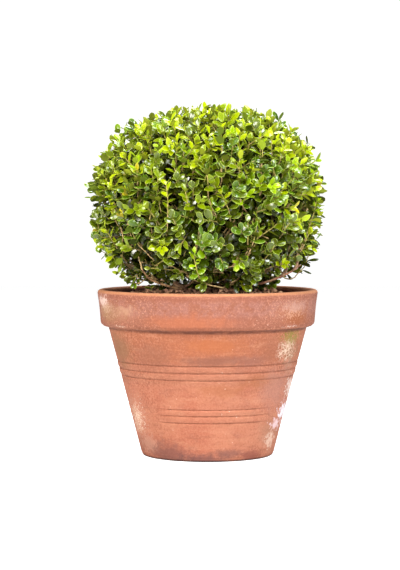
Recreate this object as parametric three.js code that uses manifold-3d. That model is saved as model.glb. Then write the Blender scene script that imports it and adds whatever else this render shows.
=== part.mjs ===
// A clipped ball of box (Buxus) growing in an old terracotta pot with a deep rim and two bands of
// three turned grooves. Millimetres, +Z up. The origin is the middle of the pot's foot, on the ground.
// The plant is a clump from one root: a short main stem that forks into six low boughs, under one
// dense clipped mass of twigs and leaves. Leaves are larger than life here, so that fewer cover it.
import * as THREE from "three";
import { mergeVertices } from "three/addons/utils/BufferGeometryUtils.js";
import Module from "manifold-3d";

const wasm = await Module();
wasm.setup();

// Driving dimensions of the pot, taken on its outside.
const POT_HEIGHT = 248;
const FOOT_RADIUS = 98.3;
const WALL_FLARE = 0.2613; // growth of the radius for each millimetre of height
const RIM_TOP_RADIUS = 165;
const RIM_FOOT_RADIUS = 160.5;
const RIM_FOOT_Z = 200;
const RIM_UNDERSIDE_Z = 194.5;
const RIM_UNDERSIDE_RADIUS = 156.5;
const NECK_Z = 192;
const LIP_ROUND = 5;
const LIP_ROUND_STEPS = 4;
const LIP_INNER_RADIUS = 153;
const LIP_INNER_BEVEL = 3;
const WALL_THICKNESS = 11;
const FLOOR_THICKNESS = 14;
const FOOT_ROUND = 3;
const DRAIN_RADIUS = 12.5;
const UPPER_GROOVES_Z = [142, 131.5, 121];
const LOWER_GROOVES_Z = [77.6, 68, 57.6];
const GROOVE_HALF_WIDTH = 1.8;
const GROOVE_DEPTH = 1.6;
const POT_SIDES = 48;

const GAP = 0.3; // clearance between pieces that touch

// The compost: a root ball that stands proud in the middle, with a lower ring by the wall.
const ROOT_BALL_TOP_Z = 244;
const ROOT_BALL_RADIUS = 112;
const ROOT_BALL_BEVEL = 12;
const ROOT_BALL_FOOT_RADIUS = 122;
const ROOT_BALL_FLAT_RADIUS = 22; // flat round the stem
const COMPOST_EDGE_Z = 226;

// The clipped outline: a bun that is fullest a little above its middle.
const BALL_RADIUS = 176;
const BALL_CENTRE_Z = 385;
const BALL_TOP_RISE = 136;
const BALL_UNDER_DROP = 152;
const BALL_SQUARENESS = 2.4; // 2 is an ellipsoid, more is fuller at the shoulders
const LOWEST_LEAF_Z = POT_HEIGHT + 2;
const CORE_SHARE = 0.79; // size of the dense core beside the clipped outline
const CORE_SIDES = 18;
const CORE_RINGS = 10;

// The stem, the boughs, and the shoots that carry the leaves.
const STEM_FORK_Z = 260;
const STEM_RADIUS = 9;
const STEM_FLARE_RADIUS = 16;
const STEM_LEAN = 3; // sideways, by the fork
const STEM_SIDES = 12;
const STEM_STEPS = 4;
const CROWN_STEM_LENGTH = 30;
const LIMB_SIDES = 8;
const LIMB_STEPS = 8;
const SHOOTS = 106;
const SHOOT_WANDER = 0.14; // how far a shoot strays from the even spread
const SHOOT_ROOT_SHARE = CORE_SHARE - 0.1; // each starts inside the core
const SHOOT_LENGTHS = [0.84, 0.78, 0.72, 0.66, 0.6, 0.5]; // shares of the way to the outline
const SHOOT_TRIM = 4; // the most that the shears cut off beyond that
const TWIG_SIDES = 3;
const TWIG_ROOT_RADIUS = 3.2;
const TWIG_TIP_RADIUS = 1.3;
const SIDE_TWIG_SHARE = 0.55; // of the shoots, this share carries a side twig
const SIDE_TWIG_FORK = 0.5; // how far up its shoot it starts
const SIDE_TWIG_ROOT_RADIUS = 1.7;
const SIDE_TWIG_SPREAD = 0.8; // angle between a side twig and its shoot, in radians
const SIDE_TWIG_LENGTHS = [26, 22, 18, 14];
const LEAF_LENGTH = 35;
const LEAF_WIDTH = 22.5;
const LEAF_SIZES = [0.88, 1.12]; // smallest and largest, beside the usual size
const LEAF_THICKNESS = 1.0;
const LEAF_ARCH = 1.6; // how far the leaf's broadest part rises above its ends
const LEAF_TILTS = [0.85, 1.2]; // angle between leaf and shoot: the end pair, then the pair below
const LEAF_ROOT_DEPTH = 2; // of the end pair, below the twig's cut end
const LEAF_ROOT_OFFSET = 0.3; // from the twig's middle, which keeps opposite leaves apart
const PAIR_SPACING = 8;
const SEED = 26;
const SLIVER = 0.03; // edges shorter than this are drawn together after joining

const material = (name, color, roughness) =>
  new THREE.MeshStandardMaterial({ name, color, roughness, metalness: 0 });
const terracotta = material("terracotta", 0xc8704a, 0.85);
const compost = material("compost", 0x3a2a20, 0.95);
const bark = material("bark", 0x8a6a4c, 0.85);
const leafGreen = material("leaf green", 0x5f8f22, 0.4);

// A repeatable stream of numbers from 0 to 1.
function seededStream(seed) {
  let state = seed >>> 0;
  return () => {
    state = (state + 0x6d2b79f5) >>> 0;
    let mixed = Math.imul(state ^ (state >>> 15), 1 | state);
    mixed = (mixed + Math.imul(mixed ^ (mixed >>> 7), 61 | mixed)) ^ mixed;
    return ((mixed ^ (mixed >>> 14)) >>> 0) / 4294967296;
  };
}

// A closed geometry as a solid that can be joined and cut.
function solidOf(geometry) {
  const bare = geometry.clone();
  bare.deleteAttribute("normal");
  bare.deleteAttribute("uv");
  const merged = mergeVertices(bare, 1e-4);
  return new wasm.Manifold(
    new wasm.Mesh({
      numProp: 3,
      vertProperties: new Float32Array(merged.attributes.position.array),
      triVerts: new Uint32Array(merged.index.array),
    }),
  );
}

// A solid as a geometry with flat faces. Only its largest piece is kept, which drops loose scraps
// and fills any hollow that joining sealed.
function geometryOf(solid) {
  const pieces = solid.decompose().sort((a, b) => b.volume() - a.volume());
  const mesh = pieces[0].getMesh();
  const geometry = new THREE.BufferGeometry();
  geometry.setAttribute("position", new THREE.BufferAttribute(mesh.vertProperties, 3));
  geometry.setIndex(new THREE.BufferAttribute(mesh.triVerts, 1));
  geometry.computeVertexNormals();
  return geometry;
}

function named(name, geometry, finish) {
  const mesh = new THREE.Mesh(geometry, finish);
  mesh.name = name;
  return mesh;
}

// Turns a closed profile of [radius, height] pairs about the upright axis.
function turned(profile, sides) {
  const points = profile.map(([radius, height]) => new THREE.Vector2(radius, height));
  return new THREE.LatheGeometry(points, sides).rotateX(Math.PI / 2);
}

const wallRadius = (z) => FOOT_RADIUS + WALL_FLARE * z;
const innerRadius = (z) =>
  z < NECK_Z
    ? wallRadius(z) - WALL_THICKNESS
    : THREE.MathUtils.mapLinear(
        z, NECK_Z, POT_HEIGHT - LIP_ROUND,
        wallRadius(NECK_Z) - WALL_THICKNESS, LIP_INNER_RADIUS,
      );

// Terracotta pot: the outside is listed from the drain hole outwards and up, then the inside down.
function makePot() {
  const grooves = [...LOWER_GROOVES_Z].reverse().concat([...UPPER_GROOVES_Z].reverse());
  const profile = [
    [DRAIN_RADIUS, 0],
    [FOOT_RADIUS - FOOT_ROUND, 0],
    [wallRadius(FOOT_ROUND), FOOT_ROUND],
  ];
  for (const z of grooves) {
    profile.push([wallRadius(z - GROOVE_HALF_WIDTH), z - GROOVE_HALF_WIDTH]);
    profile.push([wallRadius(z) - GROOVE_DEPTH, z]);
    profile.push([wallRadius(z + GROOVE_HALF_WIDTH), z + GROOVE_HALF_WIDTH]);
  }
  profile.push([wallRadius(NECK_Z), NECK_Z]);
  profile.push([RIM_UNDERSIDE_RADIUS, RIM_UNDERSIDE_Z]);
  profile.push([RIM_FOOT_RADIUS, RIM_FOOT_Z]);
  for (let i = 0; i <= LIP_ROUND_STEPS; i++) {
    const turn = (i / LIP_ROUND_STEPS) * (Math.PI / 2);
    profile.push([
      RIM_TOP_RADIUS - LIP_ROUND + LIP_ROUND * Math.cos(turn),
      POT_HEIGHT - LIP_ROUND + LIP_ROUND * Math.sin(turn),
    ]);
  }
  profile.push([LIP_INNER_RADIUS + LIP_INNER_BEVEL, POT_HEIGHT - LIP_INNER_BEVEL / 4]);
  profile.push([LIP_INNER_RADIUS, POT_HEIGHT - LIP_ROUND]);
  profile.push([innerRadius(NECK_Z), NECK_Z]);
  profile.push([innerRadius(FLOOR_THICKNESS), FLOOR_THICKNESS]);
  profile.push([DRAIN_RADIUS, FLOOR_THICKNESS]);
  profile.push(profile[0]);
  return named("terracotta_pot", turned(profile, POT_SIDES), terracotta);
}

// Potting compost and root ball, which fill the pot a hair clear of its wall and floor.
function makeCompost() {
  const inside = (z) => innerRadius(z) - GAP * 1.5;
  const shoulderZ = (COMPOST_EDGE_Z + ROOT_BALL_TOP_Z) / 2;
  const profile = [
    [0, FLOOR_THICKNESS + GAP],
    [inside(FLOOR_THICKNESS + GAP), FLOOR_THICKNESS + GAP],
    [inside(NECK_Z), NECK_Z],
    [inside(COMPOST_EDGE_Z), COMPOST_EDGE_Z],
    [ROOT_BALL_FOOT_RADIUS, COMPOST_EDGE_Z],
    [ROOT_BALL_RADIUS, shoulderZ],
    [ROOT_BALL_RADIUS - ROOT_BALL_BEVEL, ROOT_BALL_TOP_Z - ROOT_BALL_BEVEL / 6],
    [ROOT_BALL_FLAT_RADIUS, ROOT_BALL_TOP_Z],
    [0, ROOT_BALL_TOP_Z],
  ];
  return named("potting_compost", turned(profile, POT_SIDES), compost);
}

// One tapering limb: a cylinder bent along a smooth curve, whose radius runs evenly from root to tip.
function limbSolid(points, rootRadius, tipRadius) {
  const curve = new THREE.CatmullRomCurve3(points);
  const frames = curve.computeFrenetFrames(LIMB_STEPS, false);
  const straight = new THREE.CylinderGeometry(1, 1, 1, LIMB_SIDES, LIMB_STEPS);
  const position = straight.attributes.position;
  for (let i = 0; i < position.count; i++) {
    const share = position.getY(i) + 0.5;
    const step = Math.round(share * LIMB_STEPS);
    const radius = THREE.MathUtils.lerp(rootRadius, tipRadius, share);
    const at = curve.getPointAt(share);
    at.addScaledVector(frames.normals[step], -position.getX(i) * radius);
    at.addScaledVector(frames.binormals[step], position.getZ(i) * radius);
    position.setXYZ(i, at.x, at.y, at.z);
  }
  return solidOf(straight);
}

// Main stem: flared at the root, leaning a little, cut flat on the compost. Room is added all round.
const stemFoot = new THREE.Vector3(0, 0, ROOT_BALL_TOP_Z + GAP);
const stemTip = new THREE.Vector3(STEM_LEAN, 0, STEM_FORK_Z);
function stemSolid(room) {
  const straight = new THREE.CylinderGeometry(1, 1, 1, STEM_SIDES, STEM_STEPS).rotateX(Math.PI / 2);
  const position = straight.attributes.position;
  for (let i = 0; i < position.count; i++) {
    const share = position.getZ(i) + 0.5;
    const flare = (STEM_FLARE_RADIUS - STEM_RADIUS) * (1 - share) ** 3;
    const radius = STEM_RADIUS + flare + room;
    const at = stemFoot.clone().lerp(stemTip, share);
    at.x += position.getX(i) * radius;
    at.y += position.getY(i) * radius;
    at.z += room * share;
    position.setXYZ(i, at.x, at.y, at.z);
  }
  return solidOf(straight);
}

// The boughs leave the stem low down and run out over the compost before they rise into the ball.
// Each point is [distance from the middle, height, compass angle in degrees].
const BOUGHS = [
  {
    name: "bough_left", rootRadius: 4.2, tipRadius: 1.8,
    path: [[6, 250, 236], [45, 250, 238], [85, 253, 236], [111, 264, 223], [125, 280, 220]],
  },
  {
    name: "bough_right", rootRadius: 4.4, tipRadius: 1.8,
    path: [[6, 250.5, -27], [55, 253, -34], [98, 260, -30], [127, 274, -18], [141, 285, -13]],
  },
  {
    name: "bough_front", rootRadius: 3.8, tipRadius: 1.8,
    path: [[6, 253.5, 287], [36, 255, 285], [68, 260, 280], [92, 274, 277]],
  },
  {
    name: "bough_back_right", rootRadius: 4.2, tipRadius: 1.8,
    path: [[6, 253, 42], [42, 254, 45], [80, 260, 40], [112, 279, 36]],
  },
  {
    name: "bough_back", rootRadius: 4.0, tipRadius: 1.8,
    path: [[6, 250.5, 104], [38, 253, 98], [74, 260, 100], [104, 278, 103]],
  },
  {
    name: "bough_back_left", rootRadius: 4.2, tipRadius: 1.8,
    path: [[6, 253, 168], [46, 254, 160], [88, 261, 162], [118, 280, 165]],
  },
];

function boughSolid({ path, rootRadius, tipRadius }, room) {
  const points = path.map(([out, z, degrees]) => {
    const angle = THREE.MathUtils.degToRad(degrees);
    return new THREE.Vector3(Math.cos(angle) * out, Math.sin(angle) * out, z);
  });
  return limbSolid(points, rootRadius + room, tipRadius + room);
}

// How far a point lies from the ball's middle, beside the clipped outline: 1 is on the outline.
function clipShare(point) {
  const rise = point.z - BALL_CENTRE_Z;
  const half = rise > 0 ? BALL_TOP_RISE : BALL_UNDER_DROP;
  const flat = Math.hypot(point.x, point.y) / BALL_RADIUS;
  const tall = Math.abs(rise / half);
  return (flat ** BALL_SQUARENESS + tall ** BALL_SQUARENESS) ** (1 / BALL_SQUARENESS);
}

// The point at a share of the outline, in a direction from the ball's middle.
const ballCentre = new THREE.Vector3(0, 0, BALL_CENTRE_Z);
function withinOutline(direction, share) {
  const reach = share / clipShare(ballCentre.clone().add(direction));
  return ballCentre.clone().addScaledVector(direction, reach);
}

// Directions spread evenly over a sphere, on a spiral.
function spiralDirection(i, count) {
  const up = 1 - (2 * (i + 0.5)) / count;
  const turn = i * Math.PI * (3 - Math.sqrt(5));
  const flat = Math.sqrt(1 - up * up);
  return new THREE.Vector3(Math.cos(turn) * flat, Math.sin(turn) * flat, up);
}

// A unit vector at right angles to a shoot, at a turn about it.
function besideShoot(shoot, turn) {
  const side = new THREE.Vector3(1, 0.3, 0.2).cross(shoot).normalize();
  return side.applyAxisAngle(shoot, turn);
}

// The dense heart of the clipped mass.
function coreSolid() {
  const sphere = new THREE.SphereGeometry(1, CORE_SIDES, CORE_RINGS).rotateX(Math.PI / 2);
  const position = sphere.attributes.position;
  for (let i = 0; i < position.count; i++) {
    const direction = new THREE.Vector3().fromBufferAttribute(position, i).normalize();
    const at = withinOutline(direction, CORE_SHARE);
    position.setXYZ(i, at.x, at.y, at.z);
  }
  return solidOf(sphere);
}

// A three-sided tapering twig from one point to another.
function twigGeometry(root, tip, rootRadius) {
  const along = tip.clone().sub(root);
  const length = along.length();
  const upright = new THREE.Vector3(0, 1, 0);
  const turn = new THREE.Quaternion().setFromUnitVectors(upright, along.normalize());
  return new THREE.CylinderGeometry(TWIG_TIP_RADIUS, rootRadius, length, TWIG_SIDES)
    .translate(0, length / 2, 0)
    .applyQuaternion(turn)
    .translate(root.x, root.y, root.z);
}

// One leaf of eight faces: five points round its blunt outline, each as [share of its length, share of
// its width, lift of its edge], and a midrib that stands out below.
const LEAF_OUTLINE = [[0, 0, 0], [0.5, 0.5, 1], [0.94, 0.26, 0], [0.94, -0.26, 0], [0.5, -0.5, 1]];
const LEAF_UPPER_FACES = [0, 4, 1, 1, 4, 3, 1, 3, 2];
function leafGeometry(foot, along, face, size) {
  const across = new THREE.Vector3().crossVectors(face, along);
  const place = (lengthShare, widthShare, lift) =>
    foot.clone()
      .addScaledVector(along, lengthShare * LEAF_LENGTH * size)
      .addScaledVector(across, widthShare * LEAF_WIDTH * size)
      .addScaledVector(face, lift);
  const points = LEAF_OUTLINE.map(([u, v, lift]) => place(u, v, lift * LEAF_ARCH));
  points.push(place(0.55, 0, LEAF_ARCH - LEAF_THICKNESS));
  const midrib = LEAF_OUTLINE.length;
  const underFaces = LEAF_OUTLINE.flatMap((_, i) => [(i + 1) % LEAF_OUTLINE.length, midrib, i]);
  const geometry = new THREE.BufferGeometry().setFromPoints(points);
  return geometry.setIndex([...LEAF_UPPER_FACES, ...underFaces]);
}

// Opposite pairs of leaves at the end of a shoot, each pair at right angles to the next.
function leavesOf(shoot, tip, turn, sizes) {
  return sizes.map((size, i) => {
    const pair = Math.floor(i / 2);
    const side = besideShoot(shoot, turn + i * Math.PI + pair * (Math.PI / 2));
    const tilt = LEAF_TILTS[pair];
    const along = shoot.clone().multiplyScalar(Math.cos(tilt));
    along.addScaledVector(side, Math.sin(tilt));
    const face = shoot.clone().multiplyScalar(Math.sin(tilt));
    face.addScaledVector(side, -Math.cos(tilt));
    const foot = tip.clone().addScaledVector(shoot, -LEAF_ROOT_DEPTH - pair * PAIR_SPACING);
    foot.addScaledVector(side, LEAF_ROOT_OFFSET);
    return leafGeometry(foot, along, face, size);
  });
}

// The clipped mass. One stem rises from the fork into the core, and shoots stand out of the core on
// an even spiral, each with two pairs of leaves, and many with a side twig that has one pair. A twig
// is as long as its leaves can be held inside the clipped outline. One that leaves the outline, or
// touches the pot, a limb or a neighbour's leaf, is skipped, and so is such a leaf.
function makeFoliage(limbRoom) {
  const random = seededStream(SEED);
  const between = ([low, high]) => THREE.MathUtils.lerp(low, high, random());
  const twigs = [];
  const leaves = [];
  const boxed = (geometry) => ({
    box: new THREE.Box3().setFromBufferAttribute(geometry.attributes.position),
    solid: solidOf(geometry),
  });
  const isClear = (geometry, others) => {
    const position = geometry.attributes.position;
    for (let i = 0; i < position.count; i++) {
      const point = new THREE.Vector3().fromBufferAttribute(position, i);
      if (clipShare(point) > 1 || point.z < LOWEST_LEAF_Z) return false;
    }
    const { box, solid } = boxed(geometry);
    const near = others.filter((other) => other.box.intersectsBox(box));
    return [limbRoom, ...near.map((other) => other.solid)].every((other) =>
      solid.intersect(other).isEmpty(),
    );
  };

  // Grows one leafy twig of the length that keeps the most leaves, trying the longest first, and
  // returns its tip.
  const growTwig = (root, shoot, lengths, rootRadius, turn, sizes) => {
    let best = { kept: [] };
    for (const length of lengths) {
      const tip = root.clone().addScaledVector(shoot, length);
      const twig = twigGeometry(root, tip, rootRadius);
      const kept = leavesOf(shoot, tip, turn, sizes).filter((leaf) =>
        isClear(leaf, [...twigs, ...leaves]),
      );
      if (kept.length > best.kept.length && isClear(twig, leaves)) best = { tip, twig, kept };
      if (best.kept.length === sizes.length) break;
    }
    if (!best.kept.length) return null;
    twigs.push(boxed(best.twig));
    leaves.push(...best.kept.map(boxed));
    return best.tip;
  };

  for (let i = 0; i < SHOOTS; i++) {
    const wander = new THREE.Vector3(random() - 0.5, random() - 0.5, random() - 0.5);
    const shoot = spiralDirection(i, SHOOTS).addScaledVector(wander, SHOOT_WANDER).normalize();
    const turn = random() * Math.PI;
    const quarter = Math.floor(random() * 4) * (Math.PI / 2);
    const [a, b, c, d, e, f] = Array.from({ length: 6 }, () => between(LEAF_SIZES));
    const root = withinOutline(shoot, SHOOT_ROOT_SHARE);
    const reach = withinOutline(shoot, 1).distanceTo(root) - random() * SHOOT_TRIM;
    const forks = random() < SIDE_TWIG_SHARE;
    const lengths = SHOOT_LENGTHS.map((share) => share * reach);
    const tip = growTwig(root, shoot, lengths, TWIG_ROOT_RADIUS, turn, [a, b, c, d]);
    if (!tip || !forks) continue;
    const sideTurn = turn + Math.PI / 4 + quarter;
    const sideShoot = shoot.clone().multiplyScalar(Math.cos(SIDE_TWIG_SPREAD));
    sideShoot.addScaledVector(besideShoot(shoot, sideTurn), Math.sin(SIDE_TWIG_SPREAD));
    const fork = root.clone().lerp(tip, SIDE_TWIG_FORK);
    growTwig(fork, sideShoot, SIDE_TWIG_LENGTHS, SIDE_TWIG_ROOT_RADIUS, sideTurn, [e, f]);
  }

  const crownStem = new THREE.CylinderGeometry(
    STEM_RADIUS - 1, STEM_RADIUS, CROWN_STEM_LENGTH, LIMB_SIDES,
  );
  crownStem.rotateX(Math.PI / 2);
  crownStem.translate(stemTip.x, stemTip.y, stemTip.z + GAP + CROWN_STEM_LENGTH / 2);
  const solids = [...twigs, ...leaves].map(({ solid }) => solid);
  solids.push(coreSolid(), solidOf(crownStem));
  return wasm.Manifold.union(solids).subtract(limbRoom).simplify(SLIVER);
}

const plant = new THREE.Group();
plant.add(makePot(), makeCompost());
plant.add(named("main_stem", geometryOf(stemSolid(0)), bark));
const stemRoom = stemSolid(GAP);
for (const bough of BOUGHS) {
  const trimmed = boughSolid(bough, 0).subtract(stemRoom);
  plant.add(named(bough.name, geometryOf(trimmed), bark));
}
const limbRoom = wasm.Manifold.union(
  [stemSolid(GAP * 0.8), ...BOUGHS.map((bough) => boughSolid(bough, GAP * 1.2))],
);
plant.add(named("foliage_ball", geometryOf(makeFoliage(limbRoom)), leafGreen));

export default plant;
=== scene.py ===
import math
import random

import bpy
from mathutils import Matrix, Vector, kdtree, noise


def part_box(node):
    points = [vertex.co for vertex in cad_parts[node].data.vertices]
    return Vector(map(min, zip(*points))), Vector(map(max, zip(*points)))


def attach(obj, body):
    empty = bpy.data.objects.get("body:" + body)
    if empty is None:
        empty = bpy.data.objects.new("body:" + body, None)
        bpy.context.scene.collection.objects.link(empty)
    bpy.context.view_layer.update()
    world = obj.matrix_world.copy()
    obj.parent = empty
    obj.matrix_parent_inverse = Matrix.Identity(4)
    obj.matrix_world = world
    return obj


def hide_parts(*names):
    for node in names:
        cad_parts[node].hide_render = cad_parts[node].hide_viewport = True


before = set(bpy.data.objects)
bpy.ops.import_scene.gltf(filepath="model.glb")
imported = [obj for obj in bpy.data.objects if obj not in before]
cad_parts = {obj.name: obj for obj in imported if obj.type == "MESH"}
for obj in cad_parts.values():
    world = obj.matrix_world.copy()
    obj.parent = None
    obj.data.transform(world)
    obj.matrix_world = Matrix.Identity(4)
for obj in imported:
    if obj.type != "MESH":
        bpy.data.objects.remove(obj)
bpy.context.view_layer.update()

# Camera
# The photograph was taken from some three metres away, a little above the rim of the pot and
# tipped slightly down, so the far side of the rim just shows behind the near one.
CAMERA_DISTANCE = 2.777
CAMERA_HEIGHT = 0.3704
CAMERA_TIP = 0.0419
CAMERA_SWING = 0.0041
FILM_HEIGHT = 36.0
LENS = 117.0

camera = bpy.data.objects.new("camera", bpy.data.cameras.new("camera"))
camera.data.sensor_fit = "VERTICAL"
camera.data.sensor_height = FILM_HEIGHT
camera.data.lens = LENS
camera.location = (0, -CAMERA_DISTANCE, CAMERA_HEIGHT)
camera.rotation_euler = (math.pi / 2 - CAMERA_TIP, 0, CAMERA_SWING)
scene = bpy.context.scene
scene.collection.objects.link(camera)
scene.camera = camera
scene.view_settings.view_transform = "Standard"

# Clay pot
# A hand-turned pot of red clay, fired once and left unglazed: deep rim, tapering wall, flat foot
# with a drain hole. Two bands of three lines were cut into it while it turned on the wheel.
FOOT_RADIUS = 0.0983
WALL_FLARE = 0.2613
RIM_TOP_RADIUS = 0.165
RIM_FOOT_RADIUS = 0.1605
RIM_FOOT_Z = 0.200
RIM_UNDERSIDE_RADIUS = 0.1565
RIM_UNDERSIDE_Z = 0.1945
RIM_EDGE_Z = 0.1975
RIM_EDGE_ROUND = 0.0008
RIM_ROWS = 14
RIM_HOLLOW = 0.0006
NECK_Z = 0.192
LIP_ROUND = 0.005
LIP_INNER_RADIUS = 0.153
WALL_THICKNESS = 0.011
FLOOR_THICKNESS = 0.014
FOOT_ROUND = 0.003
DRAIN_RADIUS = 0.0125
INSIDE_ROWS = (0.236, 0.228, 0.218, 0.205, NECK_Z, 0.16, 0.12, 0.08, 0.04, FLOOR_THICKNESS)
GROOVE_BANDS = ((0.0576, 0.068, 0.0776), (0.121, 0.1315, 0.142))
GROOVES = GROOVE_BANDS[0] + GROOVE_BANDS[1]
GROOVE_HALF_WIDTH = 0.0015
GROOVE_DEPTH = 0.0012
BAND_SWELL = 0.0006
# the lower band's lines are worn smooth towards both sides, from each of these places on
LOWER_BAND_TOP_Z = 0.1
WORN_LEFT_X = -0.056
WORN_LEFT_FADE = 0.020
WORN_RIGHT_X = 0.074
WORN_RIGHT_FADE = 0.014
MOST_WORN = 0.85
POT_SEGMENTS = 288
WALL_STEP = 0.0024
WHEEL_WOBBLE = 0.00045
RIM_TOP_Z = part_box("terracotta_pot")[1].z


def wall_radius(z):
    return FOOT_RADIUS + WALL_FLARE * z


def inner_radius(z):
    """The hollow's radius: it follows the wall up to the neck, then widens evenly to the lip."""
    neck = wall_radius(NECK_Z) - WALL_THICKNESS
    if z < NECK_Z:
        return wall_radius(z) - WALL_THICKNESS
    share = (z - NECK_Z) / (RIM_TOP_Z - LIP_ROUND - NECK_Z)
    return neck + (LIP_INNER_RADIUS - neck) * min(share, 1)


def turned_wall(z):
    """The outside of the wall with its cut lines, and the slight swell of the clay between them."""
    radius = wall_radius(z)
    for groove in GROOVES:
        off = abs(z - groove) / GROOVE_HALF_WIDTH
        if off < 1:
            radius -= GROOVE_DEPTH * (0.5 + 0.5 * math.cos(math.pi * off))
    for lines in GROOVE_BANDS:
        for low, high in zip(lines, lines[1:]):
            if low < z < high:
                radius += BAND_SWELL * math.sin(math.pi * (z - low) / (high - low))
    return radius


def quarter_turn(centre, across, up, start, steps):
    """Points of a quarter of a round that far across and up, from an angle on, anticlockwise."""
    turns = [start + math.pi / 2 * k / steps for k in range(steps + 1)]
    return [(centre[0] + across * math.cos(a), centre[1] + up * math.sin(a)) for a in turns]


def pot_profile():
    """The section of the clay, from the drain hole out and up the outside, then down the inside."""
    cut = [z + GROOVE_HALF_WIDTH * k / 4 for z in GROOVES for k in range(-4, 5)]
    steps = round((NECK_Z - FOOT_ROUND) / WALL_STEP)
    plain = [FOOT_ROUND + (NECK_Z - FOOT_ROUND) * k / steps for k in range(1, steps + 1)]
    clear = [z for z in plain if all(abs(z - g) > GROOVE_HALF_WIDTH * 1.3 for g in GROOVES)]
    profile = [(DRAIN_RADIUS, 0.0), (DRAIN_RADIUS + 0.02, 0.0), (FOOT_RADIUS * 0.7, 0.0)]
    foot = (FOOT_RADIUS - FOOT_ROUND, FOOT_ROUND)
    profile += quarter_turn(foot, FOOT_ROUND, FOOT_ROUND, -math.pi / 2, 4)
    profile += [(turned_wall(z), z) for z in sorted(cut + clear)]
    profile += [(RIM_UNDERSIDE_RADIUS - 0.003, RIM_UNDERSIDE_Z - 0.001)]
    profile += [(RIM_UNDERSIDE_RADIUS, RIM_UNDERSIDE_Z), (RIM_FOOT_RADIUS - RIM_EDGE_ROUND, RIM_EDGE_Z)]
    for k in range(RIM_ROWS + 1):
        share = k / RIM_ROWS
        spread = (RIM_TOP_RADIUS - RIM_FOOT_RADIUS) * share - RIM_HOLLOW * math.sin(math.pi * share)
        height = RIM_FOOT_Z + (RIM_TOP_Z - LIP_ROUND - RIM_FOOT_Z) * share
        profile.append((RIM_FOOT_RADIUS + spread, height))
    lip = (RIM_TOP_RADIUS - LIP_ROUND, RIM_TOP_Z - LIP_ROUND)
    profile += quarter_turn(lip, LIP_ROUND, LIP_ROUND, 0.0, 6)[1:]
    lip_width = (RIM_TOP_RADIUS - LIP_ROUND - LIP_INNER_RADIUS) / 2
    inner_lip = (LIP_INNER_RADIUS + lip_width, RIM_TOP_Z - LIP_ROUND)
    profile += quarter_turn(inner_lip, lip_width, LIP_ROUND, math.pi / 2, 6)[1:]
    profile += [(inner_radius(z), z) for z in INSIDE_ROWS]
    profile += [(0.05, FLOOR_THICKNESS), (DRAIN_RADIUS, FLOOR_THICKNESS)]
    return profile


def smooth_piece(name, places, faces):
    mesh = bpy.data.meshes.new(name)
    mesh.from_pydata(places, [], faces)
    mesh.shade_smooth()
    piece = bpy.data.objects.new(name, mesh)
    scene.collection.objects.link(piece)
    return piece


def lathe(name, profile, segments, closed_ring, let_off):
    """A profile of (radius, height) turned about the upright axis, each point moved by let_off()."""
    places = []
    for radius, z in profile:
        for k in range(segments):
            turn = 2 * math.pi * k / segments
            places.append(let_off(Vector((radius * math.cos(turn), radius * math.sin(turn), z))))
    faces = []
    rows = len(profile)
    for row in range(rows if closed_ring else rows - 1):
        here, above = row * segments, (row + 1) % rows * segments
        for k in range(segments):
            beside = (k + 1) % segments
            faces.append((here + k, here + beside, above + beside, above + k))
    for row, turn_over in () if closed_ring else ((0, True), (rows - 1, False)):
        ring = [row * segments + k for k in range(segments)]
        hub = len(places)
        places.append(sum((places[i] for i in ring), Vector()) / segments)
        for a, b in zip(ring, ring[1:] + ring[:1]):
            faces.append((b, a, hub) if turn_over else (a, b, hub))
    return smooth_piece(name, places, faces)


def on_clay(place):
    """Where hand work leaves a point of the true round, with the worn lines filled by crust."""
    flat = Vector((place.x, place.y, 0)).normalized()
    broad = noise.noise(Vector((place.x * 9, place.y * 9, place.z * 7)))
    fine = noise.noise(Vector((place.x * 38, place.y * 38, place.z * 60)))
    wobble = WHEEL_WOBBLE * (broad + 0.35 * fine)
    wobble *= max(min(place.z / 0.004, (RIM_TOP_Z - place.z) / 0.002, 1), 0)
    off_line = abs(math.hypot(place.x, place.y) - turned_wall(place.z))
    if off_line < 0.0001 and place.z < LOWER_BAND_TOP_Z and place.y < 0:
        on_left = (WORN_LEFT_X - place.x) / WORN_LEFT_FADE
        on_right = (place.x - WORN_RIGHT_X) / WORN_RIGHT_FADE
        worn = min(max(on_left, on_right, 0), MOST_WORN)
        wobble += (wall_radius(place.z) - turned_wall(place.z)) * worn
    return place + flat * wobble


class Flow:
    """What runs out of a node. Reckoning with it, or shaping it, adds the nodes that do so."""

    def __init__(self, tree, socket):
        self.tree = tree
        self.socket = socket

    def __add__(self, other):
        return number_of("ADD", self, other)

    def __sub__(self, other):
        return number_of("SUBTRACT", self, other)

    def __mul__(self, other):
        return number_of("MULTIPLY", self, other)

    def ramp(self, low, high, to_low=0.0, to_high=1.0, kind="SMOOTHSTEP"):
        """A soft step, or a straight one: to_low where this is low, to_high where it is high."""
        return out_of(self.tree, "ShaderNodeMapRange", {
            "Value": self, "From Min": low, "From Max": high, "To Min": to_low, "To Max": to_high,
        }, interpolation_type=kind)

    def band(self, low, high, fade):
        """1 where this is between low and high, with that much fade at either edge."""
        return self.ramp(low - fade, low + fade) * self.ramp(high + fade, high - fade)


def feed(node, inputs):
    """Gives each of a node's inputs its value, or the flow that it is to follow."""
    for key, value in inputs.items():
        if isinstance(value, Flow):
            value.tree.links.new(value.socket, node.inputs[key])
        else:
            node.inputs[key].default_value = value


def add(tree, kind, inputs=None, **settings):
    node = tree.nodes.new(kind)
    for key, value in settings.items():
        setattr(node, key, value)
    feed(node, inputs or {})
    return node


def out_of(tree, kind, inputs=None, output=0, **settings):
    """What runs out of a new node: its first output, or the one that is named."""
    return Flow(tree, add(tree, kind, inputs, **settings).outputs[output])


def number_of(operation, first, *others):
    given = dict(enumerate((first, *others)))
    return out_of(first.tree, "ShaderNodeMath", given, operation=operation)


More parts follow.
